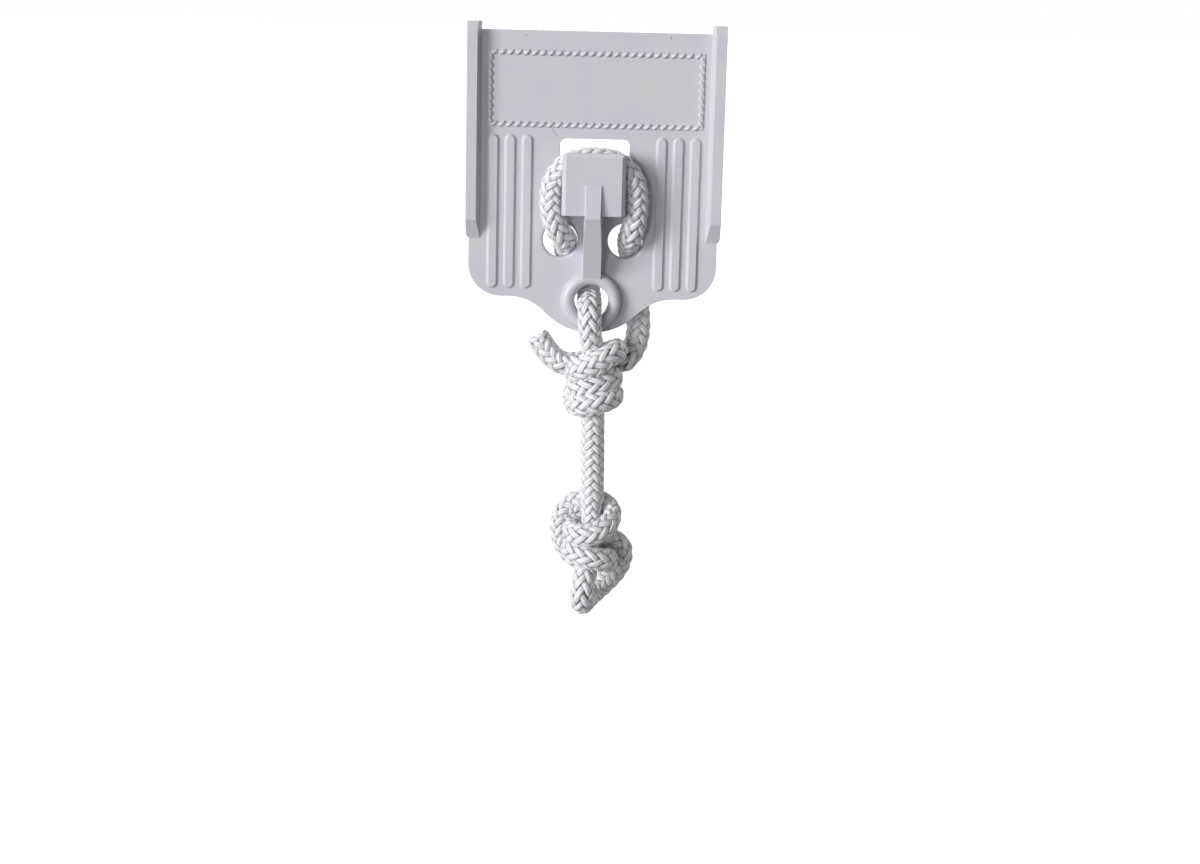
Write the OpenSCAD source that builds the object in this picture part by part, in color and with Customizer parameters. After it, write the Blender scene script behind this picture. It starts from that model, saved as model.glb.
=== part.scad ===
// Fender hanger: a moulded plate that clips on a boat's rail, laced with a braided rope.
// The origin is the rail's axis at the middle of the plate. X runs along the rail,
// the plate's face looks along -Y and Z points up.

/* [Rail clip] */
// Diameter of the rail that the jaws snap on
rail_d = 22.2; // [19:0.1:25.4]
// Play between the rail and the jaws, on the radius
rail_play = 0.1; // [0.02:0.02:0.18]
// Wall of the jaws round the rail
jaw_wall = 4.2; // [3:0.1:6]
// Angle of the mouth that is pushed over the rail
mouth_angle = 114; // [96:1:128]
// Direction of the mouth, turned from the back towards the ground
mouth_tilt = 80; // [60:1:95]
// Gap between the rail's bore and the back of the plate
plate_gap = 0.5; // [0.2:0.1:2]

/* [Plate] */
// Thickness of the plate
plate_t = 3; // [2:0.1:5]
// Width of the plate
plate_w = 93; // [84:1:120]
// Height of the top edge above the rail's axis
plate_top = 25; // [20:0.5:35]
// Depth of the two shoulders below the rail's axis
shoulder_drop = 73.6; // [70:0.2:90]
// Radius of the lower corners
corner_r = 12; // [6:0.5:18]
// Radius of the tongue's round end
tongue_r = 24; // [20:0.5:27]
// Depth of the tongue's tip below the rail's axis
tongue_drop = 87; // [85:0.5:94]
// Slope of the tongue's flanks
flank_angle = 42; // [36:1:50]
// Radius that leads the shoulders into the tongue
flank_r = 18; // [10:0.5:22]

/* [Side cheeks] */
// Thickness of each cheek behind the plate
cheek_t = 4.2; // [3:0.1:6]
// Width of each cheek's front face
cheek_face = 3.9; // [3:0.1:5]
// Height of the cheeks above the plate's face
cheek_proud = 4.5; // [3:0.1:7]
// Slope of the cheek's inner side where it meets the plate's face
cheek_draft = 1.3; // [0.5:0.1:2]
// How far the cheeks stand outside the plate's edge
cheek_lip = 1; // [0.4:0.1:2]
// Height of the cheeks' top above the plate's top edge
cheek_rise = 3; // [1:0.1:6]
// Height of the bevel at the cheeks' top
cheek_bevel = 3.2; // [1:0.1:5]
// Depth of the cheeks' foot below the rail's axis
foot_drop = 52; // [44:0.2:58]
// Length of the slope at the foot
foot_len = 7.4; // [4:0.1:10]
// Radius of the foot's lower corner
foot_r = 1.8; // [0.5:0.1:2.5]

/* [Window and hook] */
// Width of the window behind the hook
window_w = 25.8; // [24.6:0.1:30]
// Depth of the window's top edge below the rail's axis
window_drop = 14.1; // [13.6:0.1:16]
// Radius of the window's corners
window_r = 2.3; // [1:0.1:4]
// Distance from the head's lower edge up to the window's lower edge
window_foot = 2; // [1:0.1:6]
// Width of the hook's neck
neck_w = 20; // [15:0.5:21]
// Depth of the neck's round top below the rail's axis
neck_drop = 27.2; // [26:0.1:29]
// Width of the hook's head
head_w = 23.4; // [22:0.1:24.4]
// Depth of the head's top edge below the rail's axis
head_drop = 18.2; // [17:0.1:20]
// Height of the head
head_h = 22.9; // [20:0.1:25]
// Thickness of the head
head_t = 3.4; // [2.5:0.1:5]
// Radius of the head's upper corners
head_r = 2.6; // [1:0.1:4]
// Bevel along the head's front edges
head_bevel = 1.4; // [0.5:0.1:1.8]
// Room for the rope between the plate and the head
rope_room = 10.3; // [9.8:0.1:12]

/* [Rib] */
// Width of the rib at its foot
rib_w = 6.8; // [5:0.1:8]
// Slope of each rib side from its foot to its front
rib_draft = 0.7; // [0.2:0.1:1.2]
// Distance from the head's top edge to the start of the rib
rib_start = 11.4; // [8:0.1:14]
// Height of the step where the rib starts on the head
rib_step = 0.5; // [0.2:0.1:1]
// Height of the rib above the head's face at its highest point
rib_proud = 2.2; // [1:0.1:4]
// Distance from the head's lower edge down to the rib's highest point
rib_knee = 0.8; // [0.2:0.1:2]

/* [Eye and rope holes] */
// Radius of the hole in the eye
eye_r = 6.4; // [6:0.1:7]
// Depth of the eye's centre below the rail's axis
eye_drop = 74.8; // [73:0.1:77]
// Radius of the eye's round lip
lip_r = 2.5; // [2:0.1:3]
// Height of the lip's centre above the plate's face
lip_rise = 1.3; // [0.5:0.1:2]
// Radius of the two rope holes
hole_r = 6.5; // [6:0.1:7]
// Distance of the rope holes from the middle
hole_x = 12.2; // [11.6:0.1:14]
// Depth of the rope holes below the rail's axis
hole_drop = 51.9; // [50:0.1:54]
// Rounding of the holes' edges
hole_round = 1.1; // [0.5:0.1:1.3]

/* [Flutes and border] */
// Number of flutes on each side
flute_count = 3; // [1:1:3]
// Distance between neighbouring flutes
flute_pitch = 6.3; // [5.2:0.1:6.8]
// Distance of the inner flute from the middle
flute_x = 24.9; // [24:0.1:26]
// Width of a flute at its foot
flute_w = 4.4; // [3:0.1:5]
// Width of a flute's flat top
flute_flat = 2.8; // [1:0.1:2.9]
// Height of the flutes and of the border above the plate's face
relief = 0.8; // [0.4:0.1:1.2]
// Depth of the flutes' upper ends below the rail's axis
flute_top = 12.9; // [12:0.1:20]
// Depth of the flutes' lower ends below the rail's axis
flute_bottom = 70.8; // [50:0.2:71]
// Width of the border round the bare panel
panel_w = 79.6; // [60:0.2:82]
// Height of the border's upper edge above the rail's axis
panel_top = 17.8; // [12:0.2:20]
// Depth of the border's lower edge below the rail's axis
panel_drop = 10; // [6:0.2:11]
// Width of the border's strand
strand_w = 1.2; // [1:0.1:2]

/* [Rope] */
// Diameter of the rope
rope_d = 9.5; // [8:0.1:10]
// Depth of the upper knot's top below the rail's axis
upper_knot_drop = 91; // [88:0.5:94]
// Height of the upper knot
upper_knot_h = 26; // [24:0.5:30]
// Greatest radius of the upper knot
upper_knot_r = 11.6; // [10:0.1:13]
// Length of the line between the two knots
line_len = 34; // [10:1:300]
// Height of the lower knot
lower_knot_h = 28; // [24:0.5:32]
// Greatest radius of the lower knot
lower_knot_r = 12.6; // [11:0.1:14]

/* [Hidden] */
$fn = 64;
over = 0.01;
rope_sides = 8;

jaw_r = rail_d / 2 + rail_play;
jaw_outer = jaw_r + jaw_wall;
mouth_start = -mouth_tilt - mouth_angle / 2;
mouth_end = -mouth_tilt + mouth_angle / 2;
back_y = -(jaw_r + plate_gap);
face_y = back_y - plate_t;
cheek_x = plate_w / 2 + cheek_lip;
cheek_y = face_y - cheek_proud;
cheek_top = plate_top + cheek_rise;
head_back = face_y - rope_room;
head_front = head_back - head_t;
head_low = head_drop + head_h;
lip_x = eye_r + lip_r;

upper_knot_low = upper_knot_drop + upper_knot_h;
lower_knot_drop = upper_knot_low + line_len;
lower_knot_low = lower_knot_drop + lower_knot_h;
upper_hub = [1.6, -19.5];
lower_hub = [2, -19.3];

plastic = [0.77, 0.77, 0.81];
rope_white = [0.86, 0.86, 0.88];

// Centre lines of the rope, from its cut end to the loop for the fender
tail_route = [[-20, -11.5, -89.3], [-17.6, -11.8, -93.2], [-14.2, -12.2, -97], [-9.6, -12.8, -100.2],
    [-3, -13.6, -102.6]];
lacing_route = [[4, -14.5, -102], [9.5, -13.2, -100.2], [14.2, -11.4, -97], [17.2, -9.4, -92],
    [18.2, -7.4, -86], [17.8, -6, -79], [16.4, -5.6, -70], [14.6, -5.8, -62], [13, -7.4, -56.6],
    [12.3, -11.6, -52.8], [12.4, -15.6, -50.8], [13.6, -19, -47.6], [15.2, -20.2, -42.5],
    [15.7, -20.2, -35.5], [14.3, -20.2, -28.6], [9.6, -20.2, -23.2], [0.2, -20.2, -21],
    [-9.3, -20.2, -23.2], [-14.2, -20.2, -28.6], [-15.7, -20.2, -35.5], [-15.2, -20.2, -42.5],
    [-13.6, -19, -47.6], [-12.4, -15.6, -50.8], [-12.2, -11.6, -52.8], [-11.6, -7.4, -56.6],
    [-8.6, -5.8, -61], [-4.4, -5.8, -65.6], [-1.8, -6.6, -69.8], [-0.9, -10, -73.6], [-0.6, -14.4, -75.4],
    [-0.5, -18, -76.3], [-0.5, -21.4, -78.2], [-0.4, -23.4, -82.4], [-0.1, -23.2, -86.6], [0.8, -21, -92]];
// The loop for the fender, with its heights counted from the lower knot's lowest point
loop_points = [[0.6, -24, 3], [-0.6, -27, -2.5], [-1, -27.8, -7.5], [-0.8, -24.8, -11.4],
    [0.2, -18.6, -12.4], [3, -12.4, -11.4], [8, -8.8, -7.6], [12.4, -8.6, -2], [13.2, -10.6, 4],
    [8, -14, 9]];
loop_route = [for (p = loop_points) p - [0, 0, lower_knot_low]];
// The straight stretch leaves the upper knot and enters the lower one upright
line_route = [for (s = [0, 0.1, 0.5, 0.9, 1])
    let (shift = s < 0.5 ? 0 : s > 0.5 ? 1 : 0.6, hub = (1 - shift) * upper_hub + shift * lower_hub)
    [hub[0], hub[1], -upper_knot_low - s * line_len]];

function unit(v) = v / norm(v);
function heading(route, i) = unit(route[min(i + 1, len(route) - 1)] - route[max(i - 1, 0)]);
// The side vector is carried from ring to ring, so the tube doesn't twist
function carried(v, t) = unit(v - (v * t) * t);
function sides(route, i) = i == 0
    ? carried([0.3, 0.9, 0.2], heading(route, 0))
    : carried(sides(route, i - 1), heading(route, i));
function ring(p, t, s, r) = let (u = cross(t, s))
    [for (k = [0 : rope_sides - 1]) let (turn = 360 * k / rope_sides) p + r * (cos(turn) * s + sin(turn) * u)];
function polar(r, a) = [r * cos(a), r * sin(a)];
// The point where a line from p touches a round of radius r at the origin
function touch(p, r) = polar(r, atan2(p[1], p[0]) - acos(r / norm(p)));

module tube(route) {
    n = len(route);
    r = rope_d / 2;
    rings = [for (i = [0 : n - 1]) ring(route[i], heading(route, i), sides(route, i), r)];
    skin = [for (i = [0 : n - 2], k = [0 : rope_sides - 1], half = [0, 1])
        let (a = i * rope_sides + k, b = i * rope_sides + (k + 1) % rope_sides)
        half == 0 ? [a, a + rope_sides, b] : [b, a + rope_sides, b + rope_sides]];
    first_cap = [for (k = [0 : rope_sides - 1]) k];
    last_cap = [for (k = [rope_sides - 1 : -1 : 0]) (n - 1) * rope_sides + k];
    polyhedron(points = [for (loop = rings, p = loop) p], faces = concat([first_cap], skin, [last_cap]));
}

// Stands a flat shape up: its x stays X and its y becomes Z
module from_front(y, depth) translate([0, y, 0]) rotate([90, 0, 0]) linear_extrude(depth) children();

// Stands a side profile up: its x becomes Y and its y becomes Z
module from_side(x, width) translate([x, 0, 0]) rotate([90, 0, 90]) linear_extrude(width) children();

module both_sides() {
    children();
    mirror([1, 0, 0]) children();
}

module tongue_side() {
    meet = [tongue_r * sin(flank_angle), -tongue_drop + tongue_r * (1 - cos(flank_angle))];
    crook = [meet[0] + (-shoulder_drop - meet[1]) / tan(flank_angle), -shoulder_drop];
    reach = flank_r * tan(flank_angle / 2);
    low = crook - reach * [cos(flank_angle), sin(flank_angle)];
    polygon([[-over, -shoulder_drop + 1], [crook[0], -shoulder_drop + 1], crook, meet, [-over, meet[1]]]);
    difference() {
        polygon([crook + [-1, 1], crook + [reach, 0], low]);
        translate(crook + [reach, -flank_r]) circle(flank_r);
    }
}

module plate_outline() {
    half = plate_w / 2;
    difference() {
        translate([-half, -shoulder_drop]) square([plate_w, shoulder_drop + plate_top]);
        both_sides() translate([half - corner_r, -shoulder_drop]) difference() {
            translate([0, -over]) square([corner_r + over, corner_r + over]);
            translate([0, corner_r]) circle(corner_r);
        }
    }
    intersection() {
        translate([0, tongue_r - tongue_drop]) circle(tongue_r);
        translate([-tongue_r, -tongue_drop]) square([2 * tongue_r, tongue_drop - shoulder_drop + 1]);
    }
    both_sides() tongue_side();
}

module window_outline() {
    low = head_low - window_foot;
    translate([-window_w / 2 + window_r, -low]) square([window_w - 2 * window_r, low - window_drop]);
    translate([-window_w / 2, -low]) square([window_w, low - window_drop - window_r]);
    both_sides() translate([window_w / 2 - window_r, -window_drop - window_r]) circle(window_r);
}

// The neck's round top ends at the head's lower edge
module neck_outline() {
    intersection() {
        translate([0, -neck_drop - neck_w / 2]) circle(neck_w / 2);
        translate([-neck_w / 2, -head_low]) square([neck_w, head_low - neck_drop]);
    }
    translate([-neck_w / 2, -head_low]) square([neck_w, head_low - neck_drop - neck_w / 2]);
}

module head() {
    half = head_w / 2;
    intersection() {
        from_front(head_back, head_t) {
            translate([-half + head_r, -head_low]) square([head_w - 2 * head_r, head_h]);
            translate([-half, -head_low]) square([head_w, head_h - head_r]);
            both_sides() translate([half - head_r, -head_drop - head_r]) circle(head_r);
        }
        translate([0, 0, -head_low - over]) linear_extrude(head_h + 2 * over)
            polygon([[-half, head_back], [half, head_back], [half, head_front + head_bevel],
                [half - head_bevel, head_front], [head_bevel - half, head_front],
                [-half, head_front + head_bevel]]);
        from_side(-half, head_w)
            polygon([[head_back, -head_low], [head_front, -head_low],
                [head_front, -head_drop - head_bevel], [head_front + head_bevel, -head_drop],
                [head_back, -head_drop]]);
    }
}

module neck() {
    from_front(back_y, plate_t + rope_room + over) neck_outline();
}

// The rib carries the hook: it starts on the head's face and runs down to the eye
module rib() {
    crest = head_front - rib_proud;
    low = eye_drop - lip_x;
    intersection() {
        from_side(-rib_w / 2, rib_w)
            polygon([[back_y, -head_low + 2], [head_back - over, -head_low + 2],
                [head_back - over, -head_drop - rib_start], [head_front, -head_drop - rib_start],
                [head_front - rib_step, -head_drop - rib_start - rib_step],
                [crest, -head_low - rib_knee], [face_y - lip_rise - lip_r, -low], [back_y, -low]]);
        translate([0, 0, -low - 1]) linear_extrude(low)
            polygon([[-rib_w / 2, back_y], [rib_w / 2, back_y], [rib_w / 2, head_back],
                [rib_w / 2 - rib_draft, crest], [rib_draft - rib_w / 2, crest], [-rib_w / 2, head_back]]);
    }
}

module eye_boss() {
    translate([0, face_y, -eye_drop]) rotate([90, 0, 0]) rotate_extrude() {
        translate([eye_r, -plate_t]) square([2 * lip_r, plate_t + lip_rise]);
        translate([lip_x, lip_rise]) circle(lip_r);
    }
}

// A through hole whose two edges are rounded
module rounded_hole(x, drop, r) {
    wide = r + hole_round;
    translate([x, face_y, -drop]) rotate([90, 0, 0]) rotate_extrude() difference() {
        translate([0, -plate_t - 1]) square([wide, plate_t + 2]);
        translate([wide, -hole_round]) circle(hole_round);
        translate([wide, hole_round - plate_t]) circle(hole_round);
        translate([r, hole_round - plate_t]) square([2 * hole_round, plate_t - 2 * hole_round]);
    }
}

module flute(x) {
    top = flute_top + flute_w / 2;
    low = flute_bottom - flute_w / 2;
    for (drop = [top, low])
        translate([x, face_y + over, -drop]) rotate([90, 0, 0])
            cylinder(r1 = flute_w / 2, r2 = flute_flat / 2, h = relief + over);
    translate([x, 0, -low]) linear_extrude(low - top)
        polygon([[-flute_w / 2, face_y + over], [flute_w / 2, face_y + over],
            [flute_flat / 2, face_y - relief], [-flute_flat / 2, face_y - relief]]);
}

module border() {
    from_front(face_y + over, relief / 2 + over) difference() {
        translate([-panel_w / 2, -panel_drop]) square([panel_w, panel_top + panel_drop]);
        translate([-panel_w / 2 + strand_w, -panel_drop + strand_w])
            square([panel_w - 2 * strand_w, panel_top + panel_drop - 2 * strand_w]);
    }
}

// The ring that snaps round the rail, open at its mouth and rounded at its free end
module jaw_profile() {
    difference() {
        circle(jaw_outer);
        polygon([[0, 0], polar(2 * jaw_outer, mouth_start), polar(2 * jaw_outer, -mouth_tilt),
            polar(2 * jaw_outer, mouth_end)]);
    }
    translate(polar(jaw_r + jaw_wall / 2, mouth_end)) circle(jaw_wall / 2);
}

module cheek_profile() {
    root = [back_y, cheek_top];
    lip = polar(jaw_r, mouth_start);
    difference() {
        union() {
            polygon([[face_y, -foot_drop], [cheek_y, foot_len - foot_drop],
                [cheek_y, cheek_top - cheek_bevel], [cheek_y + cheek_bevel / 2, cheek_top], root,
                touch(root, jaw_outer), [0, 0], lip, [lip[0] - jaw_wall / 4, -jaw_outer],
                [back_y + plate_gap, foot_len - foot_drop], [back_y - plate_gap, -foot_drop]]);
            jaw_profile();
        }
        circle(jaw_r);
    }
}

module cheek() {
    inner = cheek_x - cheek_t;
    wide = cheek_x - cheek_face - cheek_draft;
    deep = face_y + plate_t / 2;
    intersection() {
        from_side(cheek_x - 2 * cheek_t, 2 * cheek_t) cheek_profile();
        translate([0, 0, -foot_drop - 1]) linear_extrude(foot_drop + cheek_top + 2)
            polygon([[inner, 2 * jaw_outer], [cheek_x, 2 * jaw_outer], [cheek_x, cheek_y],
                [cheek_x - cheek_face, cheek_y], [wide, face_y], [wide, deep], [inner, deep]]);
        from_front(2 * jaw_outer, 4 * jaw_outer) {
            translate([cheek_x - 2 * cheek_t, foot_r - foot_drop])
                square([2 * cheek_t, foot_drop + cheek_top]);
            translate([cheek_x - 2 * cheek_t, -foot_drop]) square([2 * cheek_t - foot_r, foot_drop]);
            translate([cheek_x - foot_r, foot_r - foot_drop]) circle(foot_r);
        }
    }
}

module hanger_body() {
    color(plastic) difference() {
        union() {
            from_front(back_y, plate_t) difference() {
                plate_outline();
                difference() {
                    window_outline();
                    neck_outline();
                }
            }
            neck();
            head();
            rib();
            eye_boss();
            border();
            both_sides() {
                cheek();
                for (i = [0 : flute_count - 1]) flute(flute_x + i * flute_pitch);
            }
        }
        both_sides() rounded_hole(hole_x, hole_drop, hole_r);
        translate([0, 2 * jaw_r, -eye_drop]) rotate([90, 0, 0]) cylinder(r = eye_r, h = 4 * jaw_r);
    }
}

// Two wraps pulled tight round the standing line, as one closed outer shape
module wraps(hub, drop, height, r_top, r_low) {
    bulge = height / 4;
    translate([hub[0], hub[1], -drop - height]) rotate_extrude() intersection() {
        square([r_top + r_low, height]);
        union() {
            translate([r_top - bulge, 3 * bulge]) circle(bulge);
            translate([r_low - bulge, bulge]) circle(bulge);
            square([rope_d / 2, height]);
        }
    }
}

module upper_knot() {
    color(rope_white)
        wraps(upper_hub, upper_knot_drop, upper_knot_h, upper_knot_r, upper_knot_r - 0.4);
}

module lower_knot() {
    color(rope_white)
        wraps(lower_hub, lower_knot_drop, lower_knot_h, lower_knot_r - 0.6, lower_knot_r);
}

module rope_tail() {
    color(rope_white) difference() {
        tube(tail_route);
        upper_knot();
    }
}

module rope_lacing() {
    color(rope_white) difference() {
        tube(lacing_route);
        upper_knot();
    }
}

module standing_line() {
    color(rope_white) tube(line_route);
}

module fender_loop() {
    color(rope_white) difference() {
        tube(loop_route);
        lower_knot();
    }
}

hanger_body();
rope_tail();
rope_lacing();
upper_knot();
standing_line();
lower_knot();
fender_loop();
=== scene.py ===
import math

import bpy
from mathutils import Matrix, Vector


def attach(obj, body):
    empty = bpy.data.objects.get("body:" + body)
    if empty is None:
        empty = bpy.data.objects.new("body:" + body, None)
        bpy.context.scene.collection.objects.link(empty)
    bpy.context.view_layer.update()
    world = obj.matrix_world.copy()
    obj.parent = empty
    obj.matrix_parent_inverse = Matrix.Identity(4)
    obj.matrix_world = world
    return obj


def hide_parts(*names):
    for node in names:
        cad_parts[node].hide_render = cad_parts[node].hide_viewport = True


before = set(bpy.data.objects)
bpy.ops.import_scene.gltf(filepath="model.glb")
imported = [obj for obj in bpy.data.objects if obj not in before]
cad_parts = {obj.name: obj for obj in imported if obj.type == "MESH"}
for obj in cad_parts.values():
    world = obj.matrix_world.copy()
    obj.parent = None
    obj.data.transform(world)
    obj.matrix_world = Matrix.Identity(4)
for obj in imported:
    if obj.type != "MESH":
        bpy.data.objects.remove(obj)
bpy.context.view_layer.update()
print("stage: frame loaded")

mm = 0.001
scene = bpy.context.scene
scene.view_settings.view_transform = "Standard"


def deselectAll():
    for thing in bpy.context.selected_objects:
        thing.select_set(False)


def activate(thing):
    deselectAll()
    thing.select_set(True)
    bpy.context.view_layer.objects.active = thing


# Camera

view = {
    "place": (0.0, -0.805, 0.060),        # the photographer's eye, in front and a little above
    "target": (0.0045, -0.015, -0.1254),  # what the middle of the picture shows
    "lens": 63.68,
    "roll": 1.4,                          # degrees that the picture leans to the left
}


def addCamera():
    data = bpy.data.cameras.new("camera")
    data.lens = view["lens"]
    data.sensor_width = 36
    data.clip_start = 0.01
    camera = bpy.data.objects.new("camera", data)
    scene.collection.objects.link(camera)
    place = Vector(view["place"])
    forward = (Vector(view["target"]) - place).normalized()
    right = forward.cross(Vector((0, 0, 1))).normalized()
    up = right.cross(forward)
    lean = math.radians(view["roll"])
    tilted = right * math.cos(lean) + up * math.sin(lean)
    upright = tilted.cross(forward)
    turn = Matrix((tilted, upright, -forward)).transposed().to_4x4()
    camera.matrix_world = Matrix.Translation(place) @ turn
    scene.camera = camera


addCamera()
print("stage: camera")


# Rope

# Lengths in millimetres
rope = {
    "diameter": 9.5,
    "strandsEachWay": 8,
    "layLength": 29.6,      # along the rope, for one turn of a strand
    "strandWidth": 2.75,
    "strandHeight": 1.2,
    "weave": 0.45,          # how far a strand rises and sinks as it goes over and under
    "weaveStart": -0.5,     # where in the weave the first crossing lies
    "curveStep": 0.2,       # between the points that measure the centreline
    "step": 0.74,           # between the rings of a strand
    "strandSides": 6,
    "coreRadius": 3.45,
    "coreSides": 12,
    "coreSpacing": 2,       # strand rings for each ring of the core
    "fusedLength": 2.2,     # the melted stretch at each cut end
    "fusedRadius": 4.3,
    "fusedFlat": 0.4,       # share of its height that a strand loses there
    "fusedSink": 0.25,
    "fusedDome": [(0.12, 0.95), (0.6, 0.72), (0.9, 0.35), (1, 0)],   # share of the radius, and height
    "knots": [((1.5, -19.7), -92, -116), ((1.4, -19.4), -152, -178)],   # upright axis, top and bottom
    "knotSqueeze": 0.76,    # thickness left where the rope wraps its knot's axis
    "coreShare": 0.7,       # of that squeeze, on the rope that runs straight through
    "knotFade": (-2, 3),    # from a knot's end, between no squeeze and all of it
    "knotReach": (13.5, 17),    # from its axis, between all of it and none
    "knotMiddle": (2, 5),   # from its axis, between running through and wrapping
    # The tone that the line's colour follows, a painted shade: from 0 in the gaps, painted darkest, to 1
    # on the crowns
    "toneMiddle": 0.5,
    "overUnderShade": 0.38,       # painted shade: lighter as a strand goes over another, darker as it goes under
    "sideShade": 0.12,      # painted shade over a strand's own roundness, darker towards its sides
    # The core's tone, painted darkest as the shadow in the gaps between strands
    "coreShadowTone": 0.0,
    "toneSeam": 0.5,        # where the melted end starts
    "toneFused": 0.85,
}
upperAxis, lowerAxis = [knot[0] for knot in rope["knots"]]

# Points on the centreline, from the cut end to the short end in the lower knot
tailRoute = [(-20, -11.5, -89.3), (-17.6, -11.8, -93.2), (-14.2, -12.2, -97), (-9.8, -12.6, -99.4)]
rearRoute = [(14.2, -11.4, -97), (17.2, -9.4, -92), (18.2, -7.4, -86), (17.8, -6, -79),
             (16.4, -5.6, -70), (15.2, -5.8, -62), (14.2, -7.4, -56.6), (13.8, -11.6, -52.8),
             (13.8, -15.6, -50.8), (14.6, -19, -47.6), (15.6, -20.2, -42.5), (15.8, -20.2, -35.5),
             (14.3, -20.2, -28.6), (9.6, -20.2, -23.2), (0.2, -20.2, -21), (-9.3, -20.2, -23.2),
             (-14.2, -20.2, -28.6), (-15.6, -20.2, -35.5), (-14.9, -20.2, -42.5), (-12.9, -19, -47.6),
             (-10.9, -15.6, -50.8), (-10.5, -11.6, -52.6), (-10.1, -7.4, -56), (-8, -5.8, -60.8),
             (-4.4, -5.8, -65.6), (-1.8, -6.6, -69.8), (-0.9, -10, -73.6), (-0.6, -14.4, -75.4),
             (-0.5, -18, -76.3), (-0.5, -21.4, -78.2), (-0.4, -23.4, -82.4), (-0.1, -23.2, -86.6),
             (0.8, -21.4, -92)]
lineRoute = [(1.3, -19.9, -98.5), (1.6, -19.5, -105), (1.6, -19.5, -112), (1.6, -19.5, -120),
             (1.9, -19.4, -134), (2, -19.3, -148), (1.9, -19.3, -158), (1.5, -19.9, -166)]
loopRoute = [(0.9, -21.2, -172), (0.4, -24, -177), (-0.6, -27, -181.8), (-1, -27.8, -186.5),
             (-0.8, -24.8, -190.4), (0.2, -18.6, -191.4), (3, -12.4, -190.4), (8, -8.8, -186.6),
             (12.4, -8.6, -181), (14, -9.4, -175.5), (13.2, -10, -171.4)]

# Turns round a knot's axis: degrees from the right towards the back, radius and height
upperTurns = [(110, 8.2, -98.6), (65, 8.2, -95.8), (25, 8.6, -93.4), (-15, 8.8, -92.4), (-50, 8.8, -93.4),
              (-90, 8.5, -96.6), (-125, 8.2, -99), (-160, 7.7, -100.6), (-195, 7.5, -102.4),
              (-230, 7.7, -104.4), (-270, 7.9, -105.6), (-310, 7.9, -105), (-350, 7.8, -103.8),
              (-390, 7.5, -103.2), (-430, 7.3, -103.8), (-460, 7.3, -104.6), (-500, 7, -106.2),
              (-540, 6.8, -108.8), (-580, 7.1, -111.4), (-625, 7.7, -112.6), (-670, 8, -111.6),
              (-710, 8.2, -110), (-750, 8.4, -109.6), (-790, 8.5, -110.8), (-830, 8.3, -112),
              (-870, 7.5, -112.8), (-905, 7.8, -112.4), (-935, 9.6, -110.4), (-965, 12.4, -107.2),
              (-1000, 14.8, -102.6), (-1028, 15.6, -99)]
lowerTurns = [(50, 12, -169.2), (78, 9.4, -168.6), (108, 7.8, -168.8), (145, 7.2, -169.4),
              (182, 7.4, -170.2), (225, 7.8, -170.8), (270, 8.2, -171.8), (312, 8.2, -173.2),
              (350, 7.9, -174.6), (390, 7.8, -176), (430, 8, -177), (462, 9, -177.4),
              (482, 11.8, -175.8), (495, 14, -171.4), (500, 14.8, -165), (497, 14.2, -158.8),
              (482, 11.8, -155), (456, 8.9, -153.7), (420, 8, -153.7), (385, 8.4, -155.4),
              (350, 8.7, -157.7), (315, 8.4, -160.2), (282, 8.2, -162.2), (250, 8, -163.2),
              (218, 7.5, -163.6), (182, 7.1, -163.4), (145, 7.3, -162.8), (108, 7.6, -162.2),
              (78, 7.8, -162)]



def aroundAxis(axis, turns):
    return [(axis[0] + radius * math.cos(math.radians(turn)),
             axis[1] + radius * math.sin(math.radians(turn)), height) for turn, radius, height in turns]


# A smooth curve through the points, cut into even steps
def smoothLine(points, step):
    ends = [points[0] * 2 - points[1]] + points + [points[-1] * 2 - points[-2]]
    dense = []
    for a, b, c, d in zip(ends, ends[1:], ends[2:], ends[3:]):
        ta = 0
        tb = ta + (b - a).length ** 0.5
        tc = tb + (c - b).length ** 0.5
        td = tc + (d - c).length ** 0.5
        count = max(4, int((c - b).length / rope["curveStep"]))
        for i in range(count):
            t = tb + (tc - tb) * i / count
            ab = a * ((tb - t) / (tb - ta)) + b * ((t - ta) / (tb - ta))
            bc = b * ((tc - t) / (tc - tb)) + c * ((t - tb) / (tc - tb))
            cd = c * ((td - t) / (td - tc)) + d * ((t - tc) / (td - tc))
            abc = ab * ((tc - t) / (tc - ta)) + bc * ((t - ta) / (tc - ta))
            bcd = bc * ((td - t) / (td - tb)) + cd * ((t - tb) / (td - tb))
            dense.append(abc * ((tc - t) / (tc - tb)) + bcd * ((t - tb) / (tc - tb)))
    dense.append(points[-1])
    total = sum((q - p).length for p, q in zip(dense, dense[1:]))
    count = round(total / step)
    spacing = total / count
    line, walked, wanted = [dense[0]], 0, spacing
    for p, q in zip(dense, dense[1:]):
        piece = (q - p).length
        while walked + piece >= wanted and len(line) < count:
            line.append(p.lerp(q, (wanted - walked) / piece))
            wanted += spacing
        walked += piece
    line.append(dense[-1])
    return line


def ropeCentre():
    points = tailRoute + aroundAxis(upperAxis, upperTurns) + rearRoute
    points += lineRoute + loopRoute + aroundAxis(lowerAxis, lowerTurns)
    return smoothLine([Vector(p) for p in points], rope["step"])


def softStep(value, low, high):
    t = min(1, max(0, (value - low) / (high - low)))
    return t * t * (3 - 2 * t)


# How tightly the rope is squeezed at a point, away from which axis, and whether it wraps that axis
def knotGrip(point):
    beyond, within = rope["knotFade"]
    for axis, top, low in rope["knots"]:
        out = Vector((point.x - axis[0], point.y - axis[1], 0))
        inside = softStep(point.z, low + beyond, low + within)
        inside *= softStep(-point.z, -top + beyond, -top + within)
        inside *= 1 - softStep(out.length, *rope["knotReach"])
        if inside > 0:
            return inside, out.normalized(), softStep(out.length, *rope["knotMiddle"])
    return 0, Vector((1, 0, 0)), 0


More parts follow.
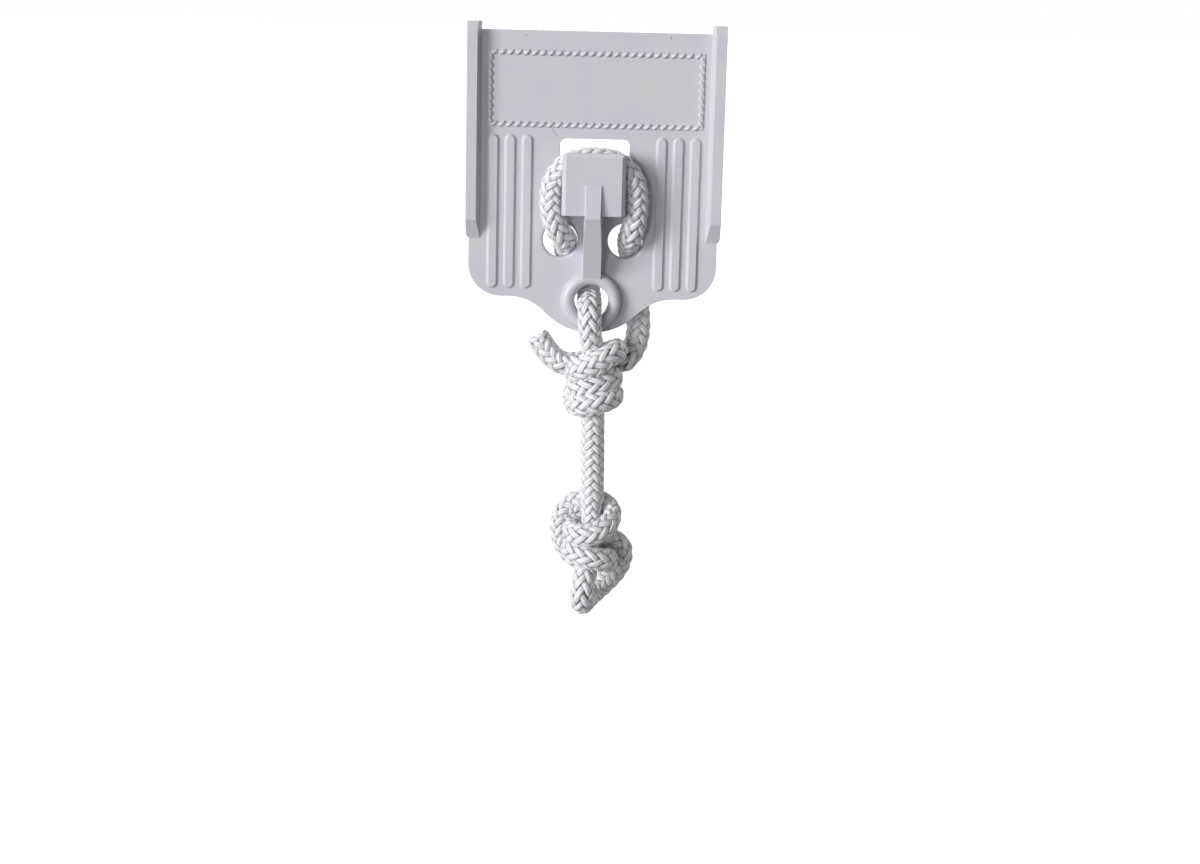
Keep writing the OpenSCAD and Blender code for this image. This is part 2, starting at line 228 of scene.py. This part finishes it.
# Each place on the centreline: point, tangent, two sides that don't twist, and the knot's grip
def ropePlaces(centre):
    last = len(centre) - 1
    tangents = [(centre[min(i + 1, last)] - centre[max(i - 1, 0)]).normalized() for i in range(last + 1)]
    side = tangents[0].orthogonal().normalized()
    places = []
    for point, tangent in zip(centre, tangents):
        side = (side - tangent * side.dot(tangent)).normalized()
        places.append((point, tangent, side, tangent.cross(side), knotGrip(point)))
    return places


# A point of the rope's surface, after the knot has squeezed it
def squeezed(place, offset):
    inside, out, wrapping = place[4]
    if inside == 0:
        return place[0] + offset
    squeeze = 1 - rope["knotSqueeze"]
    if wrapping < 1:
        offset = offset * (1 - squeeze * rope["coreShare"] * inside * (1 - wrapping))
    loss = squeeze * inside * wrapping
    return place[0] + offset - out * (offset.dot(out) * loss)


# One strand's rings of points and painted-shade tones. It winds the given way, over two and under two of
# the others
def strandRings(places, step, strand, way):
    number, lay, sides = rope["strandsEachWay"], rope["layLength"], rope["strandSides"]
    middle = rope["diameter"] / 2 - rope["strandHeight"] / 2 - rope["weave"]
    slope = math.atan2(2 * math.pi * middle, lay)
    rings = []
    for i, place in enumerate(places):
        crossing = i * step * 2 * number / lay
        turn = 2 * math.pi * (strand / number + way * i * step / lay)
        phase = 2 * strand + way * crossing + rope["weaveStart"]
        rise = way * math.cos(math.pi / 2 * phase)
        _, tangent, first, second, _ = place
        out = first * math.cos(turn) + second * math.sin(turn)
        sideways = out.cross(tangent) * -math.cos(slope) - tangent * way * math.sin(slope)
        fused = 1 - softStep(min(i, len(places) - 1 - i) * step, 0, rope["fusedLength"])
        ring = []
        for k in range(sides):
            bend = 2 * math.pi * (k + 0.5) / sides
            wide = math.cos(bend) * rope["strandWidth"] / 2
            tall = math.sin(bend) * rope["strandHeight"] / 2 * (1 - rope["fusedFlat"] * fused)
            dip = wide * wide / (2 * rope["diameter"])
            height = middle + rise * rope["weave"] * (1 - fused) + tall - dip - rope["fusedSink"] * fused
            # Painted shade: the tone drops where the strand dives under another and towards its sides
            tone = rope["toneMiddle"] + rope["overUnderShade"] * rise + rope["sideShade"] * math.sin(bend)
            ring.append((squeezed(place, out * height + sideways * wide) * mm, tone))
        rings.append(ring if way > 0 else ring[::-1])
    return rings


def coreRing(place, radius, shift, tone):
    _, tangent, first, second, _ = place
    ring = []
    for k in range(rope["coreSides"]):
        turn = 2 * math.pi * k / rope["coreSides"]
        offset = (first * math.cos(turn) + second * math.sin(turn)) * radius + tangent * shift
        ring.append((squeezed(place, offset) * mm, tone))
    return ring


# The core closes the gaps between the strands and is painted darkest there as their shadow, and its ends
# are the rope's melted cut ends
def coreRings(places):
    radius, dome, every = rope["fusedRadius"], rope["fusedDome"], rope["coreSpacing"]
    rings = [coreRing(places[0], radius * wide, -out, rope["toneFused"]) for wide, out in dome]
    rings += [coreRing(places[every], radius, 0, rope["toneSeam"])]
    inner = places[2 * every:-2 * every:every]
    # Painted shadow: the core between its seams takes the darkest tone
    rings += [coreRing(place, rope["coreRadius"], 0, rope["coreShadowTone"]) for place in inner]
    rings += [coreRing(places[-1 - every], radius, 0, rope["toneSeam"])]
    rings += [coreRing(places[-1], radius * wide, out, rope["toneFused"]) for wide, out in reversed(dome)]
    return rings


# Adds one closed tube to the mesh's data. Its lane gives it a stretch of the lay map to itself
def addTube(data, rings, lane, spacing):
    sides = len(rings[0])
    start = len(data["verts"])
    for ring in rings:
        data["verts"].extend(tuple(point) for point, _ in ring)
        data["heights"].extend(tone for _, tone in ring)
    for i in range(len(rings) - 1):
        for k in range(sides):
            a, b = start + i * sides + k, start + i * sides + (k + 1) % sides
            data["faces"].append((a, b, b + sides, a + sides))
            u, v = lane + k / sides, lane + (k + 1) / sides
            near, far = i * spacing, (i + 1) * spacing
            data["uvs"].extend((u, near, v, near, v, far, u, far))
    first = [start + k for k in reversed(range(sides))]
    last = [start + (len(rings) - 1) * sides + k for k in range(sides)]
    for cap, along in ((first, 0), (last, len(rings) * spacing)):
        data["faces"].append(cap)
        data["uvs"].extend((lane, along) * sides)


def makeRope():
    centre = ropeCentre()
    places = ropePlaces(centre)
    step = sum((q - p).length for p, q in zip(centre, centre[1:])) / (len(centre) - 1)
    number = rope["strandsEachWay"]
    data = {"verts": [], "faces": [], "uvs": [], "heights": []}
    for lane in range(2 * number):
        way = 1 if lane < number else -1
        addTube(data, strandRings(places, step, lane % number, way), lane, step)
    addTube(data, coreRings(places), 2 * number, rope["coreSpacing"] * step)

    mesh = bpy.data.meshes.new("braided_rope")
    mesh.from_pydata(data["verts"], [], data["faces"])
    mesh.uv_layers.new(name="lay").data.foreach_set("uv", data["uvs"])
    # Each point's painted-shade tone goes to the attribute named height
    mesh.attributes.new("height", "FLOAT", "POINT").data.foreach_set("value", data["heights"])
    mesh.polygons.foreach_set("use_smooth", [True] * len(mesh.polygons))
    piece = bpy.data.objects.new("braided_rope", mesh)
    scene.collection.objects.link(piece)
    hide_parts("rope_tail", "rope_lacing", "upper_knot", "standing_line", "lower_knot",
                "fender_loop")
    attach(piece, "root")
    return piece


braidedRope = makeRope()


# Moulding

border = {
    "left": -39.0,          # millimetres, the middle line of the twisted strand
    "right": 39.0,
    "top": 17.0,
    "bottom": -9.2,
    "faceY": -14.7,         # the plate's face, which the turns are half sunk in
    "pitch": 2.98,          # from one turn of the strand to the next
    "turnLength": 3.2,
    "turnWidth": 1.4,
    "turnHeight": 1.9,
    "slant": 36,            # degrees between a turn and the strand's run
    "segments": 12,
    "rings": 8,
}


# One turn of the twisted strand, shaped from a ball
def borderTurn(place, slant):
    deselectAll()
    bpy.ops.mesh.primitive_uv_sphere_add(segments=border["segments"], ring_count=border["rings"],
                                         radius=0.5, location=(0, 0, 0))
    turn = bpy.context.object
    size = (border["turnLength"] * mm, border["turnHeight"] * mm, border["turnWidth"] * mm)
    shape = Matrix.Translation(place) @ Matrix.Rotation(math.radians(slant), 4, "Y")
    turn.data.transform(shape @ Matrix.Diagonal((*size, 1)))
    turn.data.shade_smooth()
    return turn


def twistedBorder():
    corners = [(border["left"], border["top"]), (border["right"], border["top"]),
               (border["right"], border["bottom"]), (border["left"], border["bottom"])]
    turns = []
    for start, end in zip(corners, corners[1:] + corners[:1]):
        a, b = Vector(start), Vector(end)
        count = round((b - a).length / border["pitch"])
        slant = 90 - border["slant"] if a.x == b.x else -border["slant"]
        for i in range(count):
            spot = a.lerp(b, (i + 0.5) / count)
            turns.append(borderTurn(Vector((spot.x, border["faceY"], spot.y)) * mm, slant))
    return turns


def dressMoulding():
    piece = bpy.data.objects.new("moulded_hanger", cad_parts["hanger_body"].data.copy())
    scene.collection.objects.link(piece)
    turns = twistedBorder()
    activate(piece)
    for turn in turns:
        turn.select_set(True)
    bpy.ops.object.join()
    activate(piece)
    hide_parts("hanger_body")
    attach(piece, "root")
    print("stage: moulding,", len(piece.data.polygons), "faces,", len(turns), "turns in its border")
    return piece


mouldedHanger = dressMoulding()


# Materials

black = (0.0, 0.0, 0.0)

# Lengths in millimetres
plastic = {
    "colour": (0.552, 0.546, 0.610),
    "warmer": (0.575, 0.570, 0.590),   # faint cloudiness in the moulding
    "cloudRange": (0.35, 0.65),        # where in its noise the cloudiness starts and is full
    "grainScale": 2200,
    "grainShade": 0.10,                # how much the grain darkens, roughens and lifts the face
    "grainRoughness": 0.16,
    "grainBump": 0.12,
    "grainHeight": 0.05,
    "roughness": 0.42,
    "edgeRadius": 0.32,                # of every sharp edge
    "edgeSamples": 8,
    "marks": [(-26.1, 23.1, 0.42), (27.05, 23.4, 0.45)],   # x, z and radius
    "markDepth": 0.62,                 # share of its colour that the face loses there
    "flowLine": ((-16.5, -9.7), (-13.9, -13.4)),
    "flowRadius": 0.35,
    "flowDepth": 0.3,
    "markCore": 0.35,                  # share of a mark's radius that has its full depth
}

line = {
    "colourAndShade": [                       # the painted-shade tone, and the colour from there up
        (0.38, (0.045, 0.045, 0.07)),  # gaps, painted near black as their shadow
        (0.52, (0.28, 0.28, 0.33)),    # sides, painted shade
        (0.68, (0.72, 0.72, 0.76)),    # shoulders, a little painted shade
        (0.86, (0.86, 0.86, 0.87)),    # crowns, the line's own white
    ],
    "roughness": 0.5,
    "specular": 0.3,
    "sheen": 0.15,
    "yarns": 7,                        # round one strand
    "yarnTwist": 0.9,                  # radians for each millimetre along it
    "yarnShade": (0.36, 0.70),         # contrast and least tone
    "fibreScale": 3000,
    "fibreShade": (0.3, 0.86),
    "fibreHeight": 0.5,                # beside the yarns' 1
    "bump": 0.5,
    "bumpHeight": 0.18,                # millimetres
}


def newMaterial(name):
    material = bpy.data.materials.new(name)
    material.use_nodes = True
    return material, material.node_tree.nodes, material.node_tree.links


def mathNode(tree, kind, a, b=None, c=None):
    node = tree.nodes.new("ShaderNodeMath")
    node.operation = kind
    for socket, value in zip(node.inputs, (a, b, c)):
        if isinstance(value, (int, float)):
            socket.default_value = value
        elif value is not None:
            tree.links.new(value, socket)
    return node.outputs[0]


grainNoise = {
    "fineDetail": 3,
    "broadDetail": 2,
    "broadScale": 0.03,     # beside the fine noise's 1
}


# Fine grain and broad cloudiness, used by the plastic and the rope
def grainGroup():
    group = bpy.data.node_groups.new("fine grain", "ShaderNodeTree")
    face = group.interface
    face.new_socket(name="Vector", in_out="INPUT", socket_type="NodeSocketVector")
    face.new_socket(name="Scale", in_out="INPUT", socket_type="NodeSocketFloat")
    face.new_socket(name="Grain", in_out="OUTPUT", socket_type="NodeSocketFloat")
    face.new_socket(name="Cloud", in_out="OUTPUT", socket_type="NodeSocketFloat")
    start = group.nodes.new("NodeGroupInput")
    end = group.nodes.new("NodeGroupOutput")
    fine = group.nodes.new("ShaderNodeTexNoise")
    fine.inputs["Detail"].default_value = grainNoise["fineDetail"]
    broad = group.nodes.new("ShaderNodeTexNoise")
    broad.inputs["Detail"].default_value = grainNoise["broadDetail"]
    group.links.new(start.outputs["Vector"], fine.inputs["Vector"])
    group.links.new(start.outputs["Scale"], fine.inputs["Scale"])
    group.links.new(start.outputs["Vector"], broad.inputs["Vector"])
    broadScale = mathNode(group, "MULTIPLY", start.outputs["Scale"], grainNoise["broadScale"])
    group.links.new(broadScale, broad.inputs["Scale"])
    group.links.new(fine.outputs["Fac"], end.inputs["Grain"])
    group.links.new(broad.outputs["Fac"], end.inputs["Cloud"])
    return group


grain = grainGroup()


def addGrain(tree, vector, scale):
    node = tree.nodes.new("ShaderNodeGroup")
    node.node_tree = grain
    tree.links.new(vector, node.inputs["Vector"])
    node.inputs["Scale"].default_value = scale
    return node


def mixColours(tree, factor, a, b):
    node = tree.nodes.new("ShaderNodeMix")
    node.data_type = "RGBA"
    for socket, value in ((node.inputs[0], factor), (node.inputs[6], a), (node.inputs[7], b)):
        if isinstance(value, (tuple, float, int)):
            socket.default_value = value if isinstance(value, (float, int)) else (*value, 1)
        else:
            tree.links.new(value, socket)
    return node.outputs[2]


def ropeMaterial():
    material, nodes, links = newMaterial("braided line")
    tree = material.node_tree
    surface = nodes["Principled BSDF"]
    surface.inputs["Roughness"].default_value = line["roughness"]
    surface.inputs["Specular IOR Level"].default_value = line["specular"]
    surface.inputs["Sheen Weight"].default_value = line["sheen"]
    # Painted shade: the tone darkens the line's colour in the gaps, on the strands' sides and where they
    # dive under
    paintedShadeTone = nodes.new("ShaderNodeAttribute")
    paintedShadeTone.attribute_name = "height"
    ramp = nodes.new("ShaderNodeValToRGB")
    elements = ramp.color_ramp.elements
    while len(elements) < len(line["colourAndShade"]):
        elements.new(0.5)
    for element, (position, colour) in zip(elements, line["colourAndShade"]):
        element.position = position
        element.color = (*colour, 1)
    links.new(paintedShadeTone.outputs["Fac"], ramp.inputs["Fac"])
    lay = nodes.new("ShaderNodeUVMap")
    lay.uv_map = "lay"
    split = nodes.new("ShaderNodeSeparateXYZ")
    links.new(lay.outputs["UV"], split.inputs["Vector"])
    around = mathNode(tree, "MULTIPLY", split.outputs["X"], line["yarns"] * 2 * math.pi)
    along = mathNode(tree, "MULTIPLY", split.outputs["Y"], line["yarnTwist"])
    wave = mathNode(tree, "SINE", mathNode(tree, "ADD", around, along))
    yarn = mathNode(tree, "MULTIPLY_ADD", wave, 0.5, 0.5)
    fibres = addGrain(tree, nodes.new("ShaderNodeTexCoord").outputs["Object"], line["fibreScale"])
    yarnTone = mathNode(tree, "MULTIPLY_ADD", yarn, *line["yarnShade"])
    fibreTone = mathNode(tree, "MULTIPLY_ADD", fibres.outputs["Grain"], *line["fibreShade"])
    shade = mathNode(tree, "MULTIPLY", yarnTone, fibreTone)
    links.new(mixColours(tree, shade, black, ramp.outputs["Color"]), surface.inputs["Base Color"])
    bump = nodes.new("ShaderNodeBump")
    bump.inputs["Strength"].default_value = line["bump"]
    bump.inputs["Distance"].default_value = line["bumpHeight"] * mm
    relief = mathNode(tree, "MULTIPLY_ADD", fibres.outputs["Grain"], line["fibreHeight"], yarn)
    links.new(relief, bump.inputs["Height"])
    links.new(bump.outputs["Normal"], surface.inputs["Normal"])
    return material


def vectorNode(tree, kind, a, b=None):
    node = tree.nodes.new("ShaderNodeVectorMath")
    node.operation = kind
    for socket, value in zip(node.inputs, (a, b)):
        if isinstance(value, Vector):
            socket.default_value = value
        elif value is not None:
            tree.links.new(value, socket)
    return node


# A soft spot or line on the plate's face: 1 in the mark and 0 outside
def markMask(tree, place, start, end, radius):
    a, b = [Vector((x, border["faceY"], z)) * mm for x, z in (start, end)]
    run = b - a
    away = vectorNode(tree, "SUBTRACT", place, a)
    if run.length > 0:
        along = vectorNode(tree, "DOT_PRODUCT", away.outputs[0], run / run.length_squared)
        share = mathNode(tree, "MINIMUM", mathNode(tree, "MAXIMUM", along.outputs["Value"], 0), 1)
        nearest = vectorNode(tree, "SCALE", run)
        tree.links.new(share, nearest.inputs["Scale"])
        away = vectorNode(tree, "SUBTRACT", away.outputs[0], nearest.outputs[0])
    length = vectorNode(tree, "LENGTH", away.outputs[0])
    fade = tree.nodes.new("ShaderNodeMapRange")
    fade.interpolation_type = "SMOOTHSTEP"
    fade.inputs["From Min"].default_value = radius * mm
    fade.inputs["From Max"].default_value = plastic["markCore"] * radius * mm
    tree.links.new(length.outputs["Value"], fade.inputs["Value"])
    return fade.outputs["Result"]


def plasticMaterial():
    material, nodes, links = newMaterial("moulded plastic")
    tree = material.node_tree
    surface = nodes["Principled BSDF"]
    place = nodes.new("ShaderNodeTexCoord").outputs["Object"]
    skin = addGrain(tree, place, plastic["grainScale"])
    cloud = nodes.new("ShaderNodeMapRange")
    cloud.inputs["From Min"].default_value, cloud.inputs["From Max"].default_value = plastic["cloudRange"]
    links.new(skin.outputs["Cloud"], cloud.inputs["Value"])
    colour = mixColours(tree, cloud.outputs["Result"], plastic["colour"], plastic["warmer"])
    marks = [((x, z), (x, z), radius, plastic["markDepth"]) for x, z, radius in plastic["marks"]]
    marks.append((*plastic["flowLine"], plastic["flowRadius"], plastic["flowDepth"]))
    shade = mathNode(tree, "MULTIPLY_ADD", skin.outputs["Grain"], plastic["grainShade"],
                     1 - plastic["grainShade"] / 2)
    for start, end, radius, depth in marks:
        mark = markMask(tree, place, start, end, radius)
        shade = mathNode(tree, "MULTIPLY", shade, mathNode(tree, "MULTIPLY_ADD", mark, -depth, 1))
    links.new(mixColours(tree, shade, black, colour), surface.inputs["Base Color"])
    rough = mathNode(tree, "MULTIPLY_ADD", skin.outputs["Grain"], plastic["grainRoughness"],
                     plastic["roughness"] - plastic["grainRoughness"] / 2)
    links.new(rough, surface.inputs["Roughness"])
    bump = nodes.new("ShaderNodeBump")
    bump.inputs["Strength"].default_value = plastic["grainBump"]
    bump.inputs["Distance"].default_value = plastic["grainHeight"] * mm
    links.new(skin.outputs["Grain"], bump.inputs["Height"])
    edges = nodes.new("ShaderNodeBevel")
    edges.samples = plastic["edgeSamples"]
    edges.inputs["Radius"].default_value = plastic["edgeRadius"] * mm
    links.new(edges.outputs["Normal"], bump.inputs["Normal"])
    links.new(bump.outputs["Normal"], surface.inputs["Normal"])
    return material


braidedRope.data.materials.append(ropeMaterial())
mouldedHanger.data.materials.clear()
mouldedHanger.data.materials.append(plasticMaterial())
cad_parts["hanger_body"].data.materials.clear()
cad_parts["hanger_body"].data.materials.append(mouldedHanger.data.materials[0])
print("stage: materials")


# Studio

studio = {
    "floorHeight": -0.6,     # metres
    "floorSize": 30.0,
    "floorColour": (0.48, 0.48, 0.48),
    "floorWhite": 0.86,      # what the camera sees on top of the lit floor
    "surround": 0.04,        # how much the white surround lights the part
    "lamps": [               # name, the side it shines from, strength and softness in degrees
        ("window light", (-0.76, -0.60, 0.24), 3.2, 28),
        ("front light", (-0.30, -0.95, 0.09), 0.5, 8),
        ("sky light", (-0.10, 0.0, 1.0), 0.6, 40),
        ("back light", (-0.35, 0.80, 0.30), 1.2, 40),
        ("right light", (0.88, 0.42, 0.22), 0.9, 30),
    ],
}


def addLamp(name, side, strength, softness):
    data = bpy.data.lights.new(name, "SUN")
    data.energy = strength
    data.angle = math.radians(softness)
    lamp = bpy.data.objects.new(name, data)
    lamp.rotation_euler = (-Vector(side)).to_track_quat("-Z", "Y").to_euler()
    scene.collection.objects.link(lamp)


def addFloor():
    deselectAll()
    bpy.ops.mesh.primitive_plane_add(size=studio["floorSize"], location=(0, 0, studio["floorHeight"]))
    floor = bpy.context.object
    floor.name = "floor"
    material, nodes, links = newMaterial("floor")
    surface = nodes["Principled BSDF"]
    surface.inputs["Base Color"].default_value = (*studio["floorColour"], 1)
    surface.inputs["Roughness"].default_value = 0.9
    surface.inputs["Specular IOR Level"].default_value = 0.0
    surface.inputs["Emission Color"].default_value = (1, 1, 1, 1)
    rays = nodes.new("ShaderNodeLightPath")
    glow = mathNode(material.node_tree, "MULTIPLY", rays.outputs["Is Camera Ray"], studio["floorWhite"])
    links.new(glow, surface.inputs["Emission Strength"])
    floor.data.materials.append(material)


def addSurround():
    world = bpy.data.worlds.new("studio")
    scene.world = world
    world.use_nodes = True
    tree = world.node_tree
    background = tree.nodes["Background"]
    background.inputs["Color"].default_value = (1, 1, 1, 1)
    rays = tree.nodes.new("ShaderNodeLightPath")
    seen = mathNode(tree, "MAXIMUM", rays.outputs["Is Camera Ray"], rays.outputs["Is Glossy Ray"])
    seen = mathNode(tree, "MAXIMUM", seen, rays.outputs["Is Transmission Ray"])
    strength = mathNode(tree, "MULTIPLY_ADD", seen, 1 - studio["surround"], studio["surround"])
    tree.links.new(strength, background.inputs["Strength"])


addFloor()
addSurround()
for lampData in studio["lamps"]:
    addLamp(*lampData)
print("stage: studio")
